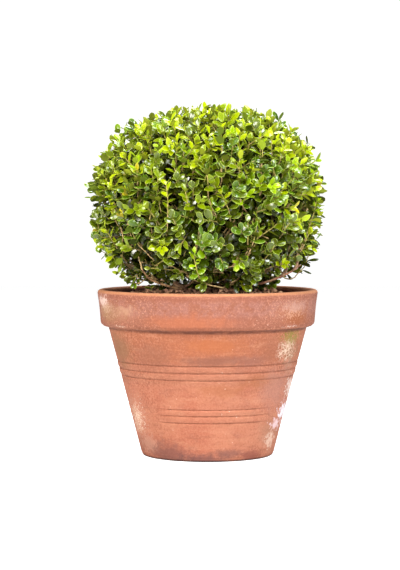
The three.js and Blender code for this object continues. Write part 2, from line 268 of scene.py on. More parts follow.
def vector_of(operation, first, *others):
    """Reckons with vectors; a length comes out as a number."""
    given = dict(enumerate((first, *others)))
    output = "Value" if operation == "LENGTH" else "Vector"
    return out_of(first.tree, "ShaderNodeVectorMath", given, output, operation=operation)


def height_of(place):
    return out_of(place.tree, "ShaderNodeSeparateXYZ", {0: place}, "Z")


def tint(red, green, blue):
    """A colour as a painter names it, from 0 to 255, in the linear light that shaders take."""
    def linear(value):
        value = value / 255
        return value / 12.92 if value < 0.04045 else ((value + 0.055) / 1.055) ** 2.4
    return (linear(red), linear(green), linear(blue), 1.0)


def mottle(place, scale, detail=4.0, rough=0.6, stretch=(1, 1, 1)):
    """Cloudy noise on the object's own coordinates, from 0 to 1."""
    stretched = out_of(place.tree, "ShaderNodeMapping", {"Vector": place, "Scale": stretch})
    return out_of(place.tree, "ShaderNodeTexNoise", {
        "Vector": stretched, "Scale": scale, "Detail": detail, "Roughness": rough,
    })


def over(amount, below, above):
    """One colour laid over another, by amount."""
    colours = {0: amount, 6: below, 7: above}
    return out_of(amount.tree, "ShaderNodeMix", colours, 2, data_type="RGBA")


def stain(place, edge, centre, reach, strength):
    """A stain round a centre, torn by a noise towards its reach; nothing lies past it.

    Centre and reach are in millimetres."""
    ragged, tear, outside, inside = edge
    off = vector_of("SUBTRACT", place, [mm / 1000 for mm in centre])
    away = vector_of("LENGTH", vector_of("DIVIDE", off, [mm / 1000 for mm in reach]))
    return (away + ragged * tear).ramp(outside, inside, 0.0, strength)


def finish_of(name):
    """A new material, and the object's own coordinates in it."""
    material = bpy.data.materials.new(name)
    material.use_nodes = True
    return material, out_of(material.node_tree, "ShaderNodeTexCoord", output="Object")


def relief_of(height, strength, distance):
    bumps = {"Strength": strength, "Distance": distance, "Height": height}
    return {"Normal": out_of(height.tree, "ShaderNodeBump", bumps)}


def dress(material, colour, roughness, shine, others):
    """Gives a material's shader its colour, roughness and shine, and other values by name."""
    feed(material.node_tree.nodes["Principled BSDF"], {
        "Base Color": colour, "Roughness": roughness, "Specular IOR Level": shine, **others,
    })


def weathered_clay():
    """Fired clay after years outdoors: mottled orange, lime bloom, algae and soot-dark stains."""
    material, place = finish_of("weathered terracotta")
    height = height_of(place)
    sideways = out_of(place.tree, "ShaderNodeSeparateXYZ", {0: place})
    broad = mottle(place, 13, 3.0)
    patchy = mottle(place, 40, 6.0, 0.68)
    smear = mottle(place, 22, 6.0, 0.66, (1, 1, 5))
    ragged = mottle(place, 70, 7.0, 0.78)
    crusty = mottle(place, 150, 5.0, 0.8)
    speckle = mottle(place, 330, 3.0, 0.85)
    smudged = (ragged, 1.9, 1.95, 1.15)
    crusted = (crusty, 3.0, 2.02, 1.78)
    speckled = (speckle, 5.0, 2.9, 2.6)
    clay = over(broad.ramp(0.38, 0.62), tint(154, 91, 69), tint(162, 102, 78))

    def lay(amount, *colour):
        nonlocal clay
        clay = over(amount, clay, tint(*colour))

    # the colours of the kiln: a browner neck, partly painted shade under the rim's overhang, redder and
    # paler clouds, a duller rim with a haze
    lay(height.band(0.144, 0.195, 0.008) * 0.75, 142, 83, 56)
    lay(height.band(0.112, 0.146, 0.005) * 0.5, 142, 88, 67)
    lay(smear.ramp(0.50, 0.64, 0, 0.4), 134, 80, 60)
    lay(smear.ramp(0.47, 0.35, 0, 0.4), 169, 114, 88)
    lay(patchy.ramp(0.52, 0.68, 0, 0.4), 140, 90, 74)
    lay(height.ramp(0.194, 0.199) * 0.75, 115, 68, 53)
    lay(height.band(0.214, 0.237, 0.006) * ragged.ramp(0.42, 0.54) * 0.75, 134, 89, 78)

    # the grain of the clay, stronger towards both sides
    aside = number_of("ABSOLUTE", sideways).ramp(0.05, 0.10, 0.5, 1.0)
    lay(speckle.ramp(0.50, 0.64, 0, 0.6) * aside, 178, 122, 98)
    lay(speckle.ramp(0.49, 0.35, 0, 0.6) * aside, 108, 63, 45)

    # centre and reach in millimetres, colour, strength, edge
    stains = (
        # soot-dark and purplish, low on the front
        ((-58, -83, 11), (58, 50, 23), (95, 59, 56), 0.65, smudged),
        ((-10, -98, 4), (60, 50, 13), (88, 59, 59), 0.65, smudged),
        ((33, -95, 13), (36, 40, 9), (106, 68, 61), 0.7, smudged),
        ((62, -78, 6), (34, 40, 12), (112, 59, 50), 0.7, smudged),
        # dull brown: the left flank, over and under the upper lines, the left end of the rim
        ((-128, -60, 162), (34, 60, 36), (122, 85, 59), 0.75, smudged),
        ((-80, -110, 156), (50, 50, 28), (126, 79, 61), 0.6, smudged),
        ((12, -137, 150), (80, 40, 11), (115, 72, 58), 0.75, smudged),
        ((66, -120, 150), (45, 40, 13), (121, 77, 65), 0.65, smudged),
        ((20, -130, 106), (60, 40, 14), (142, 85, 56), 0.6, smudged),
        ((70, -100, 118), (40, 50, 18), (140, 83, 52), 0.6, smudged),
        ((-140, -80, 214), (44, 50, 20), (135, 95, 68), 0.65, smudged),
        # orange and orange-brown, where rim and neck were rubbed
        ((130, -97, 212), (40, 50, 18), (126, 67, 34), 0.85, smudged),
        ((94, -102, 166), (34, 60, 36), (130, 77, 56), 0.6, smudged),
        ((-30, -158, 207), (105, 50, 15), (150, 85, 56), 0.6, smudged),
        ((8, -142, 172), (70, 50, 16), (151, 86, 52), 0.7, smudged),
        # pink dust: the right flank, and low down on both sides
        ((95, -75, 105), (36, 60, 42), (148, 102, 88), 0.6, smudged),
        ((90, -60, 40), (26, 50, 30), (144, 101, 79), 0.6, smudged),
        ((-86, -55, 20), (26, 50, 18), (135, 94, 79), 0.6, smudged),
        # lime bloom: down the right edge
        ((122, -30, 104), (14, 60, 34), (206, 190, 180), 0.7, crusted),
        ((112, -30, 68), (20, 60, 26), (210, 202, 208), 0.95, crusted),
        ((100, -44, 50), (22, 50, 18), (198, 171, 173), 0.8, crusted),
        ((92, -55, 28), (15, 50, 26), (200, 171, 153), 0.6, crusted),
        # low on the left
        ((-104, -48, 60), (24, 50, 46), (178, 132, 108), 0.6, crusted),
        ((-104, -50, 60), (22, 50, 42), (208, 182, 162), 0.7, speckled),
        ((-88, -60, 24), (26, 50, 30), (172, 124, 104), 0.5, crusted),
        # at both ends of the rim and its lower edge
        ((-148, -60, 218), (36, 50, 26), (142, 104, 74), 0.7, crusted),
        ((-154, -50, 233), (22, 50, 16), (198, 170, 160), 0.85, crusted),
        ((-148, -66, 224), (26, 50, 22), (192, 160, 136), 0.5, speckled),
        ((-118, -110, 222), (36, 40, 12), (160, 120, 96), 0.6, crusted),
        ((-120, -100, 218), (50, 60, 22), (170, 128, 104), 0.4, speckled),
        ((120, -100, 222), (50, 60, 24), (184, 136, 112), 0.6, speckled),
        ((126, -100, 226), (40, 60, 16), (156, 118, 106), 0.5, crusted),
        ((118, -68, 140), (18, 50, 34), (146, 108, 92), 0.5, crusted),
        ((119, -107, 198.5), (18, 30, 2.6), (204, 178, 164), 0.8, speckled),
        ((-125, -98, 197.5), (20, 30, 2), (196, 160, 140), 0.6, speckled),
        # green algae on brown crust, under the rim on the right
        ((118, -72, 164), (34, 60, 38), (124, 86, 60), 0.8, crusted),
        ((121, -79, 180), (27, 50, 24), (126, 104, 50), 0.75, crusted),
        ((119, -81, 183), (24, 50, 17), (108, 96, 36), 0.85, speckled),
        ((117, -82, 168), (18, 50, 18), (196, 162, 140), 0.5, speckled),
        # the far side, which the photograph doesn't show
        ((-60, 100, 70), (60, 50, 45), (198, 171, 155), 0.75, crusted),
        ((70, 130, 160), (60, 60, 30), (121, 81, 59), 0.65, smudged),
        ((20, 158, 226), (50, 50, 20), (194, 169, 153), 0.8, crusted),
        ((-110, 90, 178), (35, 50, 16), (115, 108, 50), 0.8, crusted),
        ((30, 95, 12), (80, 40, 18), (95, 61, 56), 0.8, smudged),
    )
    for centre, reach, colour, strength, edge in stains:
        lay(stain(place, edge, centre, reach, strength), *colour)

    # the pale web of dead roots that has stuck below the algae
    cells = {"Vector": vector_of("ADD", place, ragged * 0.012), "Scale": 170.0}
    web = out_of(place.tree, "ShaderNodeTexVoronoi", cells, feature="DISTANCE_TO_EDGE")
    rooted = stain(place, (ragged, 1.8, 1.85, 1.40), (116, -80, 161), (24, 50, 20), 0.6)
    lay((web + crusty * 0.45).ramp(0.325, 0.275) * rooted, 202, 175, 155)

    # pale grit, and dirt in the cut lines, which are worn away at the sides of the lower band
    grit = mottle(place, 230, 2.0, 0.5) + broad.ramp(0.40, 0.62, -0.03, 0.03)
    lay(grit.ramp(0.73, 0.77, 0, 0.6), 202, 167, 147)
    worn = number_of("ABSOLUTE", sideways - 0.009).ramp(0.060, 0.080, 1.0, 0.1)
    in_patches = ragged.ramp(0.42, 0.56, 0.1, 0.5)
    for groove in GROOVES:
        dirt = number_of("ABSOLUTE", height - groove).ramp(0.0013, 0.0002) * in_patches
        lay(dirt * worn if groove < LOWER_BAND_TOP_Z else dirt, 94, 50, 36)

    # dirt with painted shadow in the angle under the rim, painted shade under the lip and a painted
    # highlight on its rubbed top, a dark stain with painted contact shade at the foot, and damp inside
    # painted shadow and dirt on the top of the wall just under the rim, fainter on the left
    under_rim_dirt_and_shadow = height.band(0.1895, 0.1950, 0.0012) * ragged.ramp(0.38, 0.58, 0.4, 1.0)
    lay(under_rim_dirt_and_shadow * sideways.ramp(-0.13, -0.05, 0.3, 0.8), 90, 52, 42)
    # painted shade: a darker reddish band just under the lip's round
    lay(height.band(0.2385, 0.2405, 0.0015) * 0.35, 131, 74, 56)
    # rub wear with a painted highlight: the top of the lip is paler
    lay(height.ramp(0.2425, 0.2465) * ragged.ramp(0.3, 0.6, 0.4, 0.8), 171, 115, 79)
    # a dark stain with painted contact shade: the bottom 4 mm go near black
    lay(height.ramp(0.0042, 0.0012) * 0.8, 50, 30, 27)
    radius = vector_of("LENGTH", vector_of("MULTIPLY", place, (1, 1, 0)))
    wall = height * WALL_FLARE + (FOOT_RADIUS - 0.006)
    hollow = number_of("MINIMUM", wall, LIP_INNER_RADIUS + 0.0005) - radius
    lay(hollow.ramp(0.0, 0.0015, 0, 0.96) * height.ramp(0.009, 0.012), 42, 26, 20)

    rings = out_of(place.tree, "ShaderNodeTexWave", {
        "Vector": place, "Scale": 62.0, "Distortion": 1.6, "Detail": 2.0, "Detail Scale": 3.0,
    }, 1, wave_type="BANDS", bands_direction="Z")
    uneven = speckle * 0.5 + rings * 0.12 + crusty * 0.6
    dress(material, clay, patchy.ramp(0.35, 0.65, 0.78, 0.94), 0.25, relief_of(uneven, 0.5, 0.0012))
    return material


pot = lathe("clay_pot", pot_profile(), POT_SEGMENTS, True, on_clay)
pot.data.materials.append(weathered_clay())
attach(pot, "root")
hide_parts("terracotta_pot")

# Potting compost
# Dark moist compost, packed round a root ball that stands a little proud of it in the middle, with
# a lower ring by the wall. It was filled in by hand, so the surface is lumpy.
ROOT_BALL_TOP_Z = 0.244
COMPOST_EDGE_Z = 0.226
SHOULDER_START = 0.092
SHOULDER_END = 0.130
LUMP_HEIGHT = 0.0030
CRUMB_HEIGHT = 0.0016
LEVEL_EDGE = 0.006
COMPOST_SEGMENTS = 200
COMPOST_RINGS = 78
HAIR = 0.0004


def compost_height(radius):
    share = min(max((radius - SHOULDER_START) / (SHOULDER_END - SHOULDER_START), 0), 1)
    eased = share * share * (3 - 2 * share)
    return ROOT_BALL_TOP_Z + (COMPOST_EDGE_Z - ROOT_BALL_TOP_Z) * eased


def compost_profile():
    """From the floor of the pot up its wall, then in over the surface to the middle."""
    profile = [(0.04, FLOOR_THICKNESS + HAIR)]
    for z in (FLOOR_THICKNESS + HAIR, 0.06, 0.12, NECK_Z, COMPOST_EDGE_Z - 0.006):
        profile.append((inner_radius(z) - HAIR, z))
    edge = inner_radius(COMPOST_EDGE_Z) - HAIR
    for k in range(COMPOST_RINGS):
        radius = edge * (1 - k / COMPOST_RINGS)
        profile.append((radius, compost_height(radius)))
    return profile


def lumpy(place):
    """Lumps and crumbs on the open surface; what the pot hides stays plain."""
    if place.z < COMPOST_EDGE_Z - 0.001:
        return place
    from_edge = inner_radius(COMPOST_EDGE_Z) - math.hypot(place.x, place.y)
    rise = noise.noise(place * 55) * LUMP_HEIGHT + noise.noise(place * 210) * CRUMB_HEIGHT
    return place + Vector((0, 0, rise * min(from_edge / LEVEL_EDGE, 1)))


def moist_compost():
    material, place = finish_of("moist compost")
    coarse = mottle(place, 90, 4.0, 0.7)
    fine = mottle(place, 420, 3.0, 0.7)
    soil = over(coarse.ramp(0.4, 0.65), tint(60, 42, 32), tint(104, 76, 55))
    soil = over(fine.ramp(0.56, 0.68, 0, 0.8), soil, tint(152, 118, 88))
    dress(material, soil, 0.9, 0.2, relief_of(fine, 0.8, 0.001))
    return material


compost = lathe("compost_fill", compost_profile(), COMPOST_SEGMENTS, False, lumpy)
compost.data.materials.append(moist_compost())
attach(compost, "root")
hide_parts("potting_compost")

# Litter on the compost
# Fallen leaves that have dried to curls, chips of bark and crumbs of compost, lying loose on top as
# they fell. They are strewn over the compost and its root ball, but not right up to the clay.
LITTER_EDGE = 0.128
LEAF_RIM_LIFT = 0.006
# each row is share of the length, half width, height of the middle and of the margins
DRY_LEAF_ROWS = (
    (0.0, 0, 0.0, 0), (0.2, 0.12, 0.06, 0.12), (0.55, 0.2, 0.14, 0.26),
    (0.85, 0.14, 0.08, 0.2), (1.0, 0, 0.0, 0),
)
WOOD_CHIP_ROWS = (
    (-0.5, 0, 0.1, 0), (-0.42, 0.16, 0.16, 0.06), (0.1, 0.2, 0.2, 0.08),
    (0.42, 0.12, 0.14, 0.05), (0.5, 0, 0.08, 0),
)
CRUMB_ROWS = (
    (-0.5, 0, 0.2, 0), (-0.3, 0.35, 0.42, 0.2), (0.2, 0.42, 0.5, 0.22),
    (0.42, 0.2, 0.35, 0.15), (0.5, 0, 0.2, 0),
)


def flat_piece(name, rows, thickness, rim=0.0):
    """A small closed leaf or chip, rooted at the origin and lying along +X with its face up.

    The rows between the first and the last have three points; the margins are shared by both
    faces. A rim is a strip of that width inside the margins, on the upper face."""
    first, *middle, last = rows
    places = [Vector((first[0], 0, first[2]))]
    for along, half, rise, margin in middle:
        places += [Vector((along, half, margin)), Vector((along, 0, rise)), Vector((along, -half, margin))]
    places.append(Vector((last[0], 0, last[2])))
    tip = len(places) - 1
    places += [Vector((along, 0, rise - thickness)) for along, half, rise, margin in middle]
    beneath = {2 + 3 * k: tip + 1 + k for k in range(len(middle))}
    inside = {}
    for corner in [c for c in range(1, tip + 1) if c % 3 != 2] if rim else []:
        along, across, height = places[corner]
        if across:
            middle_height = places[corner - 1 if across < 0 else corner + 1].z
            height += (middle_height - height) * 0.2
            across -= math.copysign(rim, across)
        else:
            along -= rim * 1.6
        inside[corner] = len(places)
        places.append(Vector((along, across, height + LEAF_RIM_LIFT)))

    def lay(moved, face_up):
        faces = []

        def face(*corners):
            corners = [moved.get(c, c) for c in corners]
            faces.append(tuple(corners if face_up else reversed(corners)))
        face(0, 3, 2)
        face(0, 2, 1)
        end = 1 + 3 * (len(middle) - 1)
        for a in range(1, end, 3):
            b = a + 3
            face(a + 1, a + 2, b + 2, b + 1)
            face(a, a + 1, b + 1, b)
        face(end + 2, tip, end + 1)
        face(end + 1, tip, end)
        return faces

    lengthwise = [[0] + [start + 3 * k for k in range(len(middle))] + [tip] for start in (1, 2, 3)]
    strips = []
    for line, turn_over in ((lengthwise[0], False), (lengthwise[2], True)) if rim else ():
        for a, b in zip(line, line[1:]):
            strip = [inside.get(a, a), inside[b], b] + ([a] if a else [])
            strips.append(tuple(reversed(strip) if turn_over else strip))
    upper, under = lay(inside, True), lay(beneath, False)
    mesh = bpy.data.meshes.new(name)
    mesh.from_pydata(places, [], upper + strips + under)
    mesh.shade_smooth()
    sides = ["upper"] * len(upper) + ["rim"] * len(strips) + ["underside"] * len(under)
    for label in ("rim", "underside"):
        layer = mesh.attributes.new(label, "BOOLEAN", "FACE")
        layer.data.foreach_set("value", [side == label for side in sides])
    creased = {edge for line in lengthwise for edge in zip(line, line[1:])}
    sharp = mesh.attributes.new("sharp_edge", "BOOLEAN", "EDGE")
    sharp.data.foreach_set("value", [tuple(sorted(e.vertices)) in creased for e in mesh.edges])
    return bpy.data.objects.new(name, mesh)


def new_tree(name, inputs):
    """An empty Geometry Nodes tree with these named inputs, and what runs in through them."""
    tree = bpy.data.node_groups.new(name, "GeometryNodeTree")
    tree.interface.new_socket("Geometry", in_out="OUTPUT", socket_type="NodeSocketGeometry")
    for label, kind in {"Geometry": "Geometry", **inputs}.items():
        tree.interface.new_socket(label, in_out="INPUT", socket_type="NodeSocket" + kind)
    way_in = tree.nodes.new("NodeGroupInput").outputs
    return tree, {socket.name: Flow(tree, socket) for socket in way_in}


def chance(tree, low, high, seed):
    """A random number between low and high for each point, the same one every time."""
    limits = {2: low, 3: high, "Seed": seed}
    return out_of(tree, "FunctionNodeRandomValue", limits, 1, data_type="FLOAT")


def is_so(a, operation, b):
    return out_of(a.tree, "FunctionNodeCompare", {0: a, 1: b}, operation=operation)


def logic(a, operation, b):
    return out_of(a.tree, "FunctionNodeBooleanMath", {0: a, 1: b}, operation=operation)


def finished(geometry, finish):
    """What a tree has made, as a real mesh in its material."""
    whole = out_of(geometry.tree, "GeometryNodeRealizeInstances", {0: geometry})
    return out_of(geometry.tree, "GeometryNodeSetMaterial", {0: whole, "Material": finish})


def hand_out(geometry):
    feed(geometry.tree.nodes.new("NodeGroupOutput"), {0: geometry})


def copies(points, piece, turned, size):
    """A copy of an object at every point, with that rotation and size."""
    shape = out_of(points.tree, "GeometryNodeObjectInfo", {"Object": piece}, "Geometry")
    return out_of(points.tree, "GeometryNodeInstanceOnPoints", {
        "Points": points, "Instance": shape, "Rotation": turned, "Scale": size,
    })


def scatter_tree():
    """Pieces strewn over the upward faces of a surface, each turned, tipped and sized by chance."""
    tree, given = new_tree("strewn litter", {
        "Piece": "Object", "Density": "Float", "Length": "Float", "Edge": "Float",
        "Lowest": "Float", "Sink": "Float", "Tip": "Float", "Seed": "Int", "Finish": "Material",
    })
    spot = out_of(tree, "GeometryNodeInputPosition")
    away = vector_of("LENGTH", vector_of("MULTIPLY", spot, (1, 1, 0)))
    upward = is_so(height_of(out_of(tree, "GeometryNodeInputNormal")), "GREATER_THAN", 0.3)
    high = is_so(height_of(spot), "GREATER_THAN", given["Lowest"])
    near = is_so(away, "LESS_THAN", given["Edge"])
    points = out_of(tree, "GeometryNodeDistributePointsOnFaces", {
        "Mesh": given["Geometry"], "Selection": logic(logic(upward, "AND", high), "AND", near),
        "Density": given["Density"], "Seed": given["Seed"],
    })
    sunk = out_of(tree, "ShaderNodeCombineXYZ", {2: given["Sink"] * -1.0})
    laid = out_of(tree, "GeometryNodeSetPosition", {"Geometry": points, "Offset": sunk})
    turns = out_of(tree, "ShaderNodeCombineXYZ", {
        0: chance(tree, -1.0, 1.0, 1) * given["Tip"],
        1: chance(tree, -1.0, 1.0, 2) * given["Tip"],
        2: chance(tree, 0.0, 2 * math.pi, 3),
    })
    turned = out_of(tree, "FunctionNodeEulerToRotation", {0: turns})
    strewn = copies(laid, given["Piece"], turned, chance(tree, 0.65, 1.2, 4) * given["Length"])
    hand_out(finished(strewn, given["Finish"]))
    return tree


def made_by(tree, name, start_mesh, inputs):
    """The plain mesh piece that a tree makes of a mesh, with these inputs."""
    piece = bpy.data.objects.new(name, start_mesh)
    scene.collection.objects.link(piece)
    modifier = piece.modifiers.new(tree.name, "NODES")
    modifier.node_group = tree
    for socket in tree.interface.items_tree:
        if socket.name in inputs:
            modifier[socket.identifier] = inputs[socket.name]
    whole = piece.evaluated_get(bpy.context.evaluated_depsgraph_get())
    made = bpy.data.meshes.new_from_object(whole)
    piece.modifiers.remove(modifier)
    piece.data = made
    made.name = name
    return piece


def litter_finish(name, dark, light):
    material, place = finish_of(name)
    shade = mottle(place, 130, 3.0, 0.6).ramp(0.36, 0.64)
    dress(material, over(shade, dark, light), 0.75, 0.3, {})
    return material


strew = scatter_tree()
# name, one piece of it, how many a square metre, length, how deep and how far tipped, seed, finish
LITTER = (
    ("dry_leaf_litter", flat_piece("dry_leaf", DRY_LEAF_ROWS, 0.03), 26000.0, 0.013, 0.0, 0.7, 11,
     litter_finish("dried leaf", tint(94, 63, 49), tint(164, 125, 95))),
    ("bark_chip_litter", flat_piece("wood_chip", WOOD_CHIP_ROWS, 0.18), 16000.0, 0.010, 0.0005, 0.35, 12,
     litter_finish("bark chip", tint(88, 62, 51), tint(140, 104, 84))),
    ("compost_crumbs", flat_piece("compost_crumb", CRUMB_ROWS, 0.5), 60000.0, 0.0042, 0.0008, 0.8, 13,
     litter_finish("compost crumb", tint(64, 44, 33), tint(130, 98, 71))),
)
for name, piece, density, length, sink, tip, seed, finish in LITTER:
    litter = made_by(strew, name, compost.data, {
        "Piece": piece, "Density": density, "Length": length, "Edge": LITTER_EDGE,
        "Lowest": COMPOST_EDGE_Z - 0.004, "Sink": sink, "Tip": tip, "Seed": seed, "Finish": finish,
    })
    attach(litter, "root")

# Main stem and low boughs
# The woody foot of the clump: a short stem, swollen where it leaves the root ball, that forks into
# six boughs. They run out low over the compost and turn up, with thin, lengthwise-cracked bark.
STEM_FOOT_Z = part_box("main_stem")[0].z
STEM_FORK = Vector((0.003, 0, 0.260))
STEM_RADIUS = 0.009
STEM_FLARE_RADIUS = 0.016
STEM_STEPS = 12
STEM_SIDES = 24
BOUGH_ROOT_RADIUS = 0.0024
BOUGH_TIP_RADIUS = 0.0011
BOUGH_SIDES = 16
BOUGH_STEPS = 9
BARK_RELIEF = 0.14
# distance out, height and angle round the pot, from the right and anticlockwise, of each point
BOUGHS = {
    "bough_left": (
        (0.006, 0.250, 236), (0.045, 0.250, 238), (0.085, 0.253, 236), (0.111, 0.264, 223),
        (0.125, 0.280, 220),
    ),
    "bough_right": (
        (0.006, 0.2505, -27), (0.055, 0.253, -34), (0.098, 0.260, -30), (0.127, 0.274, -18),
        (0.141, 0.285, -13),
    ),
    "bough_front": ((0.006, 0.2535, 287), (0.036, 0.255, 285), (0.068, 0.260, 280), (0.092, 0.274, 277)),
    "bough_back_right": ((0.006, 0.253, 42), (0.042, 0.254, 45), (0.080, 0.260, 40), (0.112, 0.279, 36)),
    "bough_back": ((0.006, 0.2505, 104), (0.038, 0.253, 98), (0.074, 0.260, 100), (0.104, 0.278, 103)),
    "bough_back_left": (
        (0.006, 0.253, 168), (0.046, 0.254, 160), (0.088, 0.261, 162), (0.118, 0.280, 165),
    ),
}


def smooth_path(points, steps):
    """A curve through all the points, with that many steps from each to the next."""
    path = []
    for k in range(len(points) - 1):
        start, end = points[k], points[k + 1]
        before = points[k - 1] if k else start * 2 - end
        after = points[k + 2] if k + 2 < len(points) else end * 2 - start
        for step in range(steps):
            t = step / steps
            bend = (2 * before - 5 * start + 4 * end - after) * t * t
            turn = (3 * start - before - 3 * end + after) * t ** 3
            path.append((2 * start + (end - before) * t + bend + turn) / 2)
    path.append(points[-1].copy())
    return path


def limb(name, path, radii, sides):
    """A limb with its bark's relief, ringed along a path and closed at both ends."""
    places, faces = [], []
    side = Vector((0.31, 0.17, 1))
    along = 0.0
    last = len(path) - 1
    for k, (centre, radius) in enumerate(zip(path, radii)):
        ahead = (path[min(k + 1, last)] - path[max(k - 1, 0)]).normalized()
        side = (side - ahead * side.dot(ahead)).normalized()
        other = ahead.cross(side)
        along += (centre - path[max(k - 1, 0)]).length
        for s in range(sides):
            turn = 2 * math.pi * s / sides
            out = side * math.cos(turn) + other * math.sin(turn)
            ridge = noise.noise(Vector((math.cos(turn) * 2.6, math.sin(turn) * 2.6, along * 90)))
            knot = noise.noise(Vector((along * 60, radius * 900, 3.7)))
            places.append(centre + out * radius * (1 + BARK_RELIEF * (ridge + 0.6 * knot)))
    places += [path[0], path[-1]]
    foot, tip = len(places) - 2, len(places) - 1
    for k in range(last):
        for s in range(sides):
            a, b = k * sides + s, k * sides + (s + 1) % sides
            faces.append((a, b, b + sides, a + sides))
    for s in range(sides):
        beside = (s + 1) % sides
        faces += [(foot, beside, s), (tip, last * sides + s, last * sides + beside)]
    return smooth_piece(name, places, faces)


def bark(name, dark, light, roughness):
    """Thin brown bark, in lengthwise flakes that show paler wood between them."""
    material, place = finish_of(name)
    flakes = mottle(place, 230, 4.0, 0.65)
    blotch = mottle(place, 40, 2.0, 0.5)
    colour = over(flakes.ramp(0.38, 0.62), dark, light)
    colour = over(blotch.ramp(0.5, 0.7, 0, 0.35), colour, tint(150, 140, 96))
    dress(material, colour, roughness, 0.3, relief_of(flakes, 0.6, 0.0004))
    return material


def part_of_wood(piece, node):
    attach(piece, "root")
    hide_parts(node)


def evenly(root, tip, count):
    """Numbers that go evenly from root to tip."""
    return [root + (tip - root) * k / (count - 1) for k in range(count)]


old_bark = bark("old bark", tint(102, 72, 49), tint(168, 129, 90), 0.8)
red_bark = bark("reddish bark", tint(100, 60, 44), tint(164, 112, 84), 0.75)
shares = [k / STEM_STEPS for k in range(STEM_STEPS + 1)]
stem_path = [Vector((0, 0, STEM_FOOT_Z)).lerp(STEM_FORK, share) for share in shares]
stem_radii = [STEM_RADIUS + (STEM_FLARE_RADIUS - STEM_RADIUS) * (1 - share) ** 3 for share in shares]
stem = limb("stem_bark", stem_path, stem_radii, STEM_SIDES)
stem.data.materials.append(old_bark)
part_of_wood(stem, "main_stem")

boughs = {}
for node, corners in BOUGHS.items():
    turns = [math.radians(angle) for out, z, angle in corners]
    points = [Vector((out * math.cos(turn), out * math.sin(turn), z))
              for turn, (out, z, angle) in zip(turns, corners)]
    boughs[node] = smooth_path(points, BOUGH_STEPS)
    radii = evenly(BOUGH_ROOT_RADIUS, BOUGH_TIP_RADIUS, len(boughs[node]))
    bough = limb(node + "_bark", boughs[node], radii, BOUGH_SIDES)
    bough.data.materials.append(red_bark if node == "bough_right" else old_bark)
    part_of_wood(bough, node)

# Branches and twigs inside the ball
# Wood that a clipped bush makes: stems that rise from the foot and boughs, and fork again and again
# until the sprigs reach the line of the shears. Each grows on from the nearest older wood.
BALL_RADIUS = 0.176
BALL_CENTRE = Vector((0, 0, 0.385))
BALL_TOP_RISE = 0.136
BALL_UNDER_DROP = 0.152
BALL_SQUARENESS = 2.4
UNDER_SQUARENESS = 2.8
FOOT = Vector((0.002, 0, 0.254))
UPWARD = Vector((0, 0, 1))
WOOD_SPREAD = 0.2
WOOD_RISE = 0.25
WOOD_WANDER = 0.08
WOOD_UNEVENNESS = 0.06
WOOD_STEPS = 7
WOOD_SIDES = 7
LEAN = 0.28
KNEE = 0.45
KINK = 0.012
LOWEST_TIP_Z = 0.258
NEAREST_TIP = 0.062
BOUGH_CLEARANCE = 0.010
BOUGH_SHADE = 0.035
OPEN_BOUGHS = {"bough_left": 0.013, "bough_right": 0.020}
# share of its length past which wood bears shoots
STEM_BARE = 0.7
BOUGH_BARE = 0.35
WOOD_BARE = 0.3
# how many there are, share of the way to the outline, length wished for, radius at root and tip
MAIN_BRANCHES = (
    (18, 0.44, 0.075, 0.0032, 0.0022),
    (80, 0.66, 0.065, 0.0021, 0.0014),
)
TWIGS = (
    (360, 0.84, 0.055, 0.0013, 0.0009),
    (170, 0.60, 0.050, 0.0013, 0.0008),
)
GROWTH_SEED = 26


def clip_share(place):
    """How far out a place lies beside the clipped outline: 1 is on the line of the shears."""
    rise = place.z - BALL_CENTRE.z
    half, power = (BALL_TOP_RISE, BALL_SQUARENESS) if rise > 0 else (BALL_UNDER_DROP, UNDER_SQUARENESS)
    flat = math.hypot(place.x, place.y) / BALL_RADIUS
    return (flat ** power + abs(rise / half) ** power) ** (1 / power)


def on_outline(direction):
    """The place on the line of the shears, in a direction from the ball's middle."""
    return BALL_CENTRE + direction * (1.0 / clip_share(BALL_CENTRE + direction))


def spiral_direction(index, count):
    """Directions spread evenly over a sphere, on a spiral."""
    up = 1 - 2 * (index + 0.5) / count
    turn = index * math.pi * (3 - math.sqrt(5))
    flat = math.sqrt(1 - up * up)
    return Vector((math.cos(turn) * flat, math.sin(turn) * flat, up))


def stray(stream, reach):
    return Vector((stream.gauss(0, reach), stream.gauss(0, reach), stream.gauss(0, reach)))


def too_near(place, bough, shade):
    """Whether a place is close to a low bough, or in the shade under it, where nothing grows."""
    for k, joint in enumerate(bough):
        off = place - joint
        low = k > len(bough) / 3 and off.z < shade * 0.25
        if low and math.hypot(off.x, off.y) < shade or off.length < BOUGH_CLEARANCE:
            return True
    return False


class Wood:
    """The wood grown so far: every place on it where a new shoot may start, with its direction."""

    def __init__(self):
        self.joints = []

    def remember(self, path, start_share):
        """Makes joints of the part of a path past that share of its length."""
        for k in range(1, len(path)):
            if k / (len(path) - 1) >= start_share:
                self.joints.append((path[k], (path[k] - path[k - 1]).normalized()))

    def index(self):
        self.tree = kdtree.KDTree(len(self.joints))
        for k, (place, ahead) in enumerate(self.joints):
            self.tree.insert(place, k)
        self.tree.balance()

    def shoot_to(self, tip, wish, spread, rise, stream, steps):
        """A path to tip from the joint nearest to where a shoot of the wished length would start.

        spread says how strongly the shoot turns out of the ball, and rise how strongly it turns up."""
        outward = (tip - FOOT).normalized()
        normal = (tip - BALL_CENTRE).normalized()
        growing = outward * 0.5 + normal * spread + UPWARD * rise + stray(stream, LEAN)
        growing.normalize()
        start, ahead = self.joints[self.tree.find(tip - growing * wish)[1]]
        reach = (tip - start).length
        lead = start + (ahead * 0.6 + growing * 0.4).normalized() * reach * KNEE
        path = []
        for step in range(steps + 1):
            t = step / steps
            at = start * (1 - t) ** 2 + lead * 2 * t * (1 - t) + tip * t * t
            path.append(at + stray(stream, reach * KINK * math.sin(math.pi * t)))
        return path


